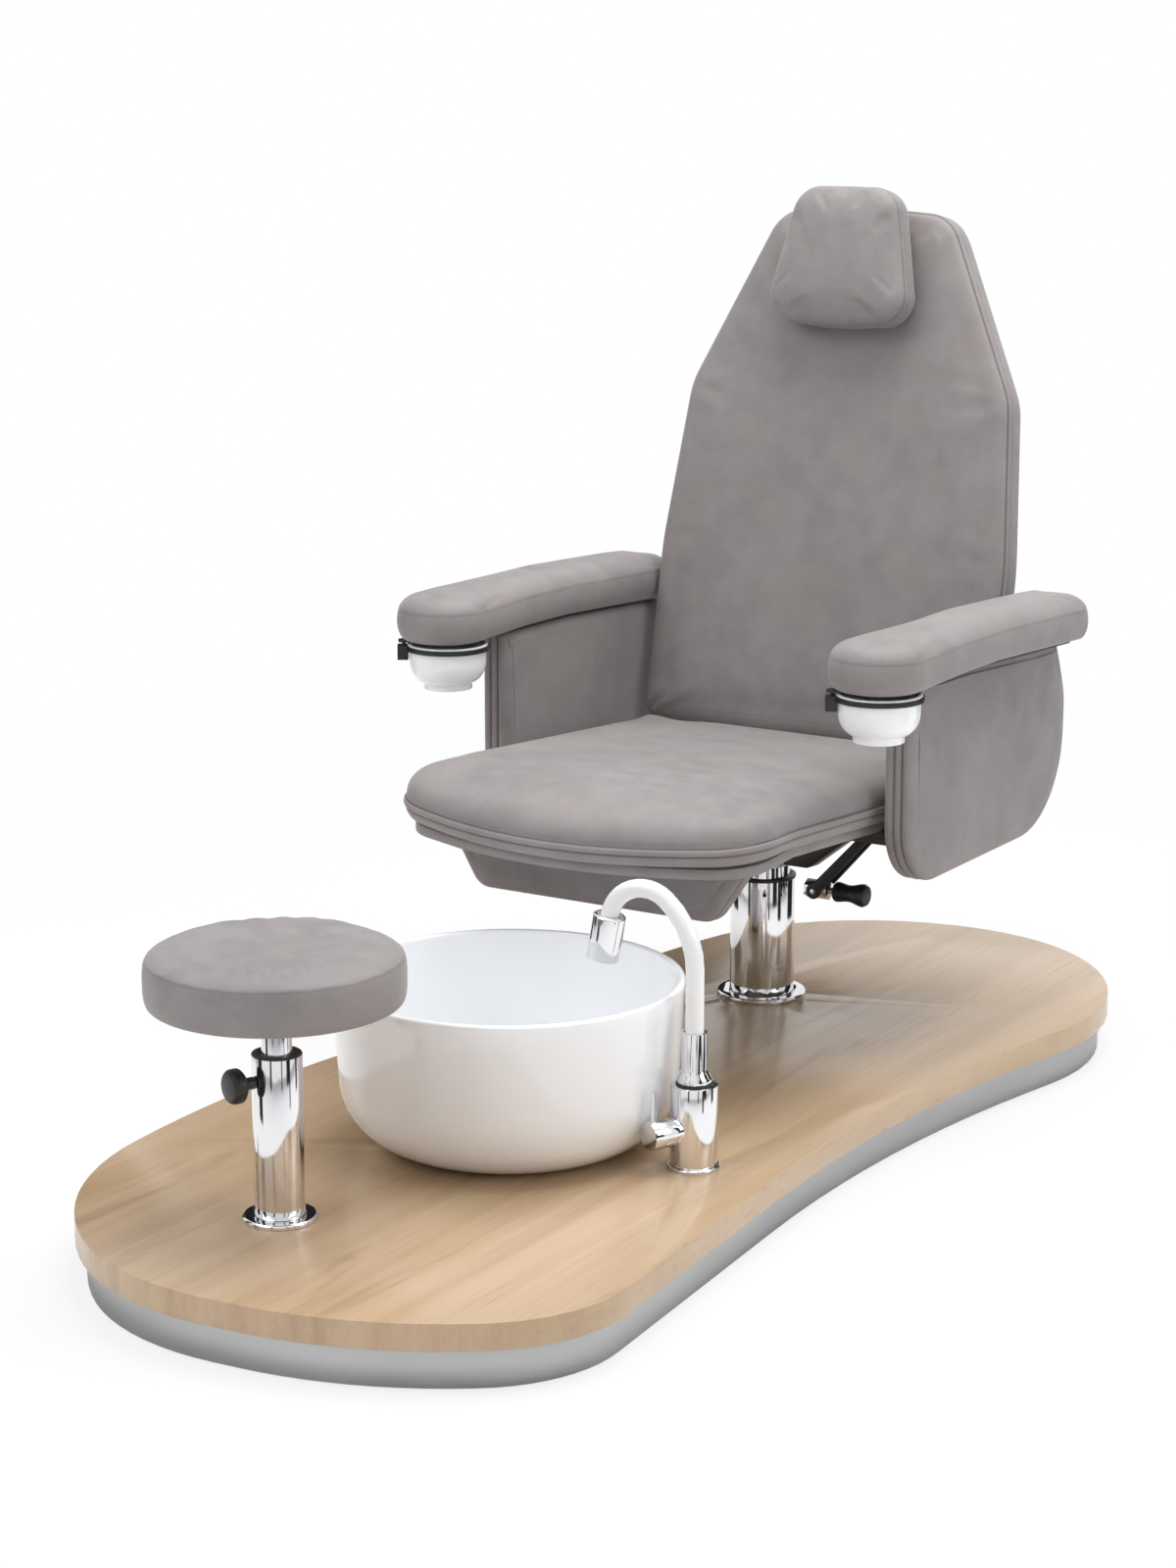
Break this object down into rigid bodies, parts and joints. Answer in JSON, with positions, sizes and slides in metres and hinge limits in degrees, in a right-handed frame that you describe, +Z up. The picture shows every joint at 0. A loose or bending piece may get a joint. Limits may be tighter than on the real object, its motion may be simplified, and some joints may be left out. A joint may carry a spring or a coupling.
{
  "type": "podiatry chair",
  "caption": "Podiatry chair on an oak platform with foot basin, tap, foot stool, reclining back, headrest and swinging nail bowls.",
  "frame": {"origin": "on the floor, on the axis of the chair's column", "axes": "+Z up, the chair's front and the foot basin lie towards -Y, +X is the tap's side"},
  "size_m": [0.9263, 2.0026, 1.3271],
  "materials": {
    "leather": "satin",
    "oak": "satin",
    "plywood": "matte",
    "stainless": "brushed",
    "chrome": "polished",
    "steel": "satin",
    "black_steel": "satin",
    "pale_metal": "satin",
    "black_plastic": "satin",
    "white_basin": "gloss",
    "white_hose": "gloss",
    "black_rubber": "matte"
  },
  "bodies": {
    "platform": {"platform_board": "oak", "plinth_core": "plywood", "plinth_skirt": "stainless", "levelling_feet": "black_rubber", "column_base": "steel", "column_bolts": "steel", "column_flange": "chrome", "column_tube": "chrome", "column_guide_ring": "black_plastic", "gas_spring_cylinder": "black_steel", "basin": "white_basin", "basin_waste": "chrome", "tap_flange": "chrome", "tap_body": "chrome", "tap_seal": "black_rubber", "stool_flange": "chrome", "stool_post": "chrome", "stool_guide_bush": "black_plastic"},
    "plug": {"basin_plug": "chrome"},
    "lift": {"lift_tube": "chrome", "gas_spring_rod": "chrome", "swivel_bearing": "steel"},
    "chair": {"swivel_head": "pale_metal", "support_arms": "black_steel", "lever_bracket": "black_steel", "seat_frame": "black_steel", "seat_board": "leather", "seat_cushion": "leather", "apron": "leather", "side_panel_left": "leather", "side_panel_right": "leather", "armrest_plate_left": "black_steel", "armrest_plate_right": "black_steel", "armrest_left": "leather", "armrest_right": "leather", "recline_brackets": "black_steel"},
    "lever": {"lever_boss": "chrome", "lever_knob": "black_plastic"},
    "back": {"back_hinge_arms": "black_steel", "backrest_board": "leather", "backrest_cushion": "leather", "headrest_guide": "black_plastic"},
    "headrest": {"headrest_bracket": "steel", "headrest_pillow": "leather"},
    "bowl_left": {"bowl_ring_left": "black_plastic", "nail_bowl_left": "white_basin"},
    "bowl_right": {"bowl_ring_right": "black_plastic", "nail_bowl_right": "white_basin"},
    "tap_handle": {"tap_lever": "chrome"},
    "spout": {"spout_collar": "chrome", "spout_hose": "white_hose", "spray_head": "chrome", "spray_face": "black_rubber"},
    "stool_clamp": {"stool_knob": "black_plastic"},
    "stool_tube": {"stool_stem": "chrome"},
    "stool_seat": {"stool_plate": "steel", "stool_board": "plywood", "stool_cushion": "leather"}
  },
  "joints": [
    {"name": "plug_lift", "type": "slide", "parent": "platform", "child": "plug", "axis": [0, 0, 1], "range_m": [0, 0.008]},
    {"name": "chair_lift", "type": "slide", "parent": "platform", "child": "lift", "axis": [0, 0, 1], "range_m": [0, 0.14]},
    {"name": "chair_swivel", "type": "hinge", "parent": "lift", "child": "chair", "pos_m": [0, 0, 0.306], "axis": [0, 0, 1], "range_deg": [-180, 180]},
    {"name": "release_lever", "type": "hinge", "parent": "chair", "child": "lever", "pos_m": [0.098, 0, 0.272], "axis": [0, -1, 0], "range_deg": [0, 15], "stiffness_Nm_per_rad": 3, "springref_deg": -9.74},
    {"name": "backrest_recline", "type": "hinge", "parent": "chair", "child": "back", "pos_m": [0, 0.19, 0.455], "axis": [-1, 0, 0], "range_deg": [0, 50]},
    {"name": "headrest_slide", "type": "slide", "parent": "back", "child": "headrest", "axis": [0, 0.1959, 0.9806], "range_m": [-0.008, 0.055]},
    {"name": "bowl_swing_left", "type": "hinge", "parent": "chair", "child": "bowl_left", "pos_m": [-0.41997, -0.36497, 0.656], "axis": [0, 0, -1], "range_deg": [0, 100]},
    {"name": "bowl_swing_right", "type": "hinge", "parent": "chair", "child": "bowl_right", "pos_m": [0.30803, -0.36497, 0.656], "axis": [0, 0, -1], "range_deg": [0, 100]},
    {"name": "tap_handle_turn", "type": "hinge", "parent": "platform", "child": "tap_handle", "pos_m": [0.29787, -0.80425, 0.145], "axis": [0.4226, 0.9063, 0], "range_deg": [0, 90]},
    {"name": "spout_swing", "type": "hinge", "parent": "platform", "child": "spout", "pos_m": [0.319, -0.75894, 0.208], "axis": [0, 0, 1], "range_deg": [-60, 110]},
    {"name": "stool_lift", "type": "slide", "parent": "platform", "child": "stool_tube", "axis": [0, 0, 1], "range_m": [0, 0.11]},
    {"name": "stool_turn", "type": "hinge", "parent": "stool_tube", "child": "stool_seat", "pos_m": [-0.028, -1.20901, 0.366], "axis": [0, 0, 1], "continuous": true},
    {"name": "stool_clamp_turn", "type": "hinge", "parent": "platform", "child": "stool_clamp", "pos_m": [-0.04754, -1.25504, 0.277], "axis": [-0.3907, -0.9205, 0], "range_deg": [0, 360]}
  ]
}
